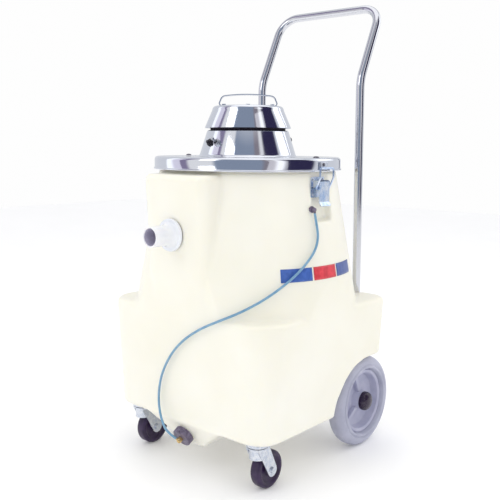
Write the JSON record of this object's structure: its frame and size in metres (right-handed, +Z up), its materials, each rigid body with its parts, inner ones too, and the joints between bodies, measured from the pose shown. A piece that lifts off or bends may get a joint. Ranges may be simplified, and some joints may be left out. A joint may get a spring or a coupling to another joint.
{
  "type": "spot extractor",
  "caption": "Wheeled spot extractor: moulded two-tank body, vacuum motor on a latched metal lid, hose inlet, drain, pump bay, swivel casters and a push handle.",
  "frame": {"origin": "on the floor, at the middle of the footprint", "axes": "+Z up, -Y towards the front with the hose inlet, +X to the right of the hose inlet seen from behind the handle"},
  "size_m": [0.464, 0.598, 1.013],
  "materials": {
    "moulded_body": "satin moulded polyethylene",
    "inlet_plastic": "white moulded plastic",
    "black_plastic": "dark moulded plastic",
    "cap_plastic": "grey-purple moulded plastic",
    "blue_tube": "translucent flexible tube",
    "seal_rubber": "soft black rubber",
    "tyre_rubber": "light grey non-marking rubber",
    "hub_plastic": "grey moulded plastic",
    "caster_tread": "dark purple-black rubber",
    "handle_chrome": "polished chrome plate on tube",
    "polished_metal": "mirror-polished metal",
    "zinc_plate": "bright zinc plate",
    "steel_parts": "turned steel",
    "motor_alloy": "spun and cast aluminium",
    "fitting_brass": "turned brass"
  },
  "bodies": {
    "tank": {"tank_body": "moulded_body", "tank_divider": "moulded_body", "inlet_fitting": "inlet_plastic", "body_gaskets": "seal_rubber", "inlet_locknut": "inlet_plastic", "drain_elbow": "fitting_brass", "tube_fitting": "cap_plastic", "level_tube": "blue_tube", "service_panel": "steel_parts", "body_screws": "zinc_plate", "pump_motor": "steel_parts", "pump_head": "black_plastic", "pump_hoses": "blue_tube", "solution_coupling": "fitting_brass", "pump_switch": "black_plastic", "push_handle": "handle_chrome", "handle_clamps": "zinc_plate", "axle": "steel_parts", "axle_clamps": "zinc_plate", "caster_mount_left": "zinc_plate", "caster_mount_right": "zinc_plate", "latch_base_left": "zinc_plate", "latch_base_right": "zinc_plate", "latch_rivets": "zinc_plate"},
    "lid": {"lid": "polished_metal", "lid_gasket": "seal_rubber", "motor_housing": "polished_metal", "motor_cap": "polished_metal", "cap_screws": "zinc_plate", "cap_posts": "steel_parts", "bail_handle": "handle_chrome", "fan_case": "motor_alloy", "motor_stator": "steel_parts", "toggle_switch": "steel_parts", "breaker": "black_plastic", "cord_gland": "black_plastic", "float_cage": "inlet_plastic"},
    "drain_cap": {"drain_cap": "cap_plastic"},
    "fill_cap": {"fill_cap": "black_plastic"},
    "pump_rocker": {"pump_rocker": "black_plastic"},
    "rotor": {"motor_rotor": "steel_parts"},
    "toggle": {"toggle_lever": "steel_parts"},
    "breaker_button": {"breaker_button": "black_plastic"},
    "float": {"float_ball": "inlet_plastic"},
    "wheel_left": {"tyre_left": "tyre_rubber", "hub_left": "hub_plastic", "hub_cap_left": "black_plastic"},
    "caster_left": {"caster_fork_left": "zinc_plate", "caster_bolt_left": "zinc_plate"},
    "caster_wheel_left": {"caster_wheel_left": "caster_tread"},
    "latch_lever_left": {"latch_lever_left": "zinc_plate"},
    "latch_loop_left": {"latch_loop_left": "zinc_plate"},
    "wheel_right": {"tyre_right": "tyre_rubber", "hub_right": "hub_plastic", "hub_cap_right": "black_plastic"},
    "caster_right": {"caster_fork_right": "zinc_plate", "caster_bolt_right": "zinc_plate"},
    "caster_wheel_right": {"caster_wheel_right": "caster_tread"},
    "latch_lever_right": {"latch_lever_right": "zinc_plate"},
    "latch_loop_right": {"latch_loop_right": "zinc_plate"}
  },
  "joints": [
    {"name": "lid_lift", "type": "slide", "parent": "tank", "child": "lid", "axis": [0, 0, 1], "range_m": [0, 0.3]},
    {"name": "drain_cap_turn", "type": "hinge", "parent": "tank", "child": "drain_cap", "pos_m": [0, -0.19966, 0.083], "axis": [0, -0.8568, -0.5157], "range_deg": [0, 360]},
    {"name": "fill_cap_lift", "type": "slide", "parent": "tank", "child": "fill_cap", "axis": [0, 0, 1], "range_m": [0, 0.05]},
    {"name": "pump_rocker_tilt", "type": "hinge", "parent": "tank", "child": "pump_rocker", "pos_m": [-0.062, 0.22, 0.16], "axis": [1, 0, 0], "range_deg": [-14, 0]},
    {"name": "rotor_spin", "type": "hinge", "parent": "lid", "child": "rotor", "pos_m": [0, -0.013, 0.7], "axis": [0, 0, 1], "continuous": true},
    {"name": "toggle_flip", "type": "hinge", "parent": "lid", "child": "toggle", "pos_m": [0, -0.11192, 0.68445], "axis": [1, 0, 0], "range_deg": [0, 26]},
    {"name": "breaker_press", "type": "slide", "parent": "lid", "child": "breaker_button", "axis": [0.2308, 0.9257, -0.2998], "range_m": [0, 0.003], "stiffness_N_per_m": 400},
    {"name": "float_rise", "type": "slide", "parent": "lid", "child": "float", "axis": [0, 0, 1], "range_m": [0, 0.03]},
    {"name": "wheel_left_spin", "type": "hinge", "parent": "tank", "child": "wheel_left", "pos_m": [-0.184, 0.168, 0.1016], "axis": [1, 0, 0], "continuous": true},
    {"name": "caster_left_swivel", "type": "hinge", "parent": "tank", "child": "caster_left", "pos_m": [-0.17, -0.171, 0.095], "axis": [0, 0, 1], "continuous": true},
    {"name": "caster_left_roll", "type": "hinge", "parent": "caster_left", "child": "caster_wheel_left", "pos_m": [-0.17, -0.143, 0.0381], "axis": [1, 0, 0], "continuous": true},
    {"name": "latch_left_open", "type": "hinge", "parent": "tank", "child": "latch_lever_left", "pos_m": [-0.203, -0.013, 0.603], "axis": [0, 1, 0], "range_deg": [0, 120]},
    {"name": "latch_left_loop", "type": "hinge", "parent": "latch_lever_left", "child": "latch_loop_left", "pos_m": [-0.203, -0.013, 0.592], "axis": [0, 1, 0], "range_deg": [-120, 0]},
    {"name": "wheel_right_spin", "type": "hinge", "parent": "tank", "child": "wheel_right", "pos_m": [0.184, 0.168, 0.1016], "axis": [1, 0, 0], "continuous": true},
    {"name": "caster_right_swivel", "type": "hinge", "parent": "tank", "child": "caster_right", "pos_m": [0.17, -0.171, 0.095], "axis": [0, 0, 1], "continuous": true},
    {"name": "caster_right_roll", "type": "hinge", "parent": "caster_right", "child": "caster_wheel_right", "pos_m": [0.17, -0.143, 0.0381], "axis": [1, 0, 0], "continuous": true},
    {"name": "latch_right_open", "type": "hinge", "parent": "tank", "child": "latch_lever_right", "pos_m": [0.203, -0.013, 0.603], "axis": [0, -1, 0], "range_deg": [0, 120]},
    {"name": "latch_right_loop", "type": "hinge", "parent": "latch_lever_right", "child": "latch_loop_right", "pos_m": [0.203, -0.013, 0.592], "axis": [0, -1, 0], "range_deg": [-120, 0]}
  ],
  "couplings": [
    {"joint": "latch_left_loop", "follows": "latch_left_open", "ratio": -1},
    {"joint": "latch_right_loop", "follows": "latch_right_open", "ratio": -1}
  ]
}
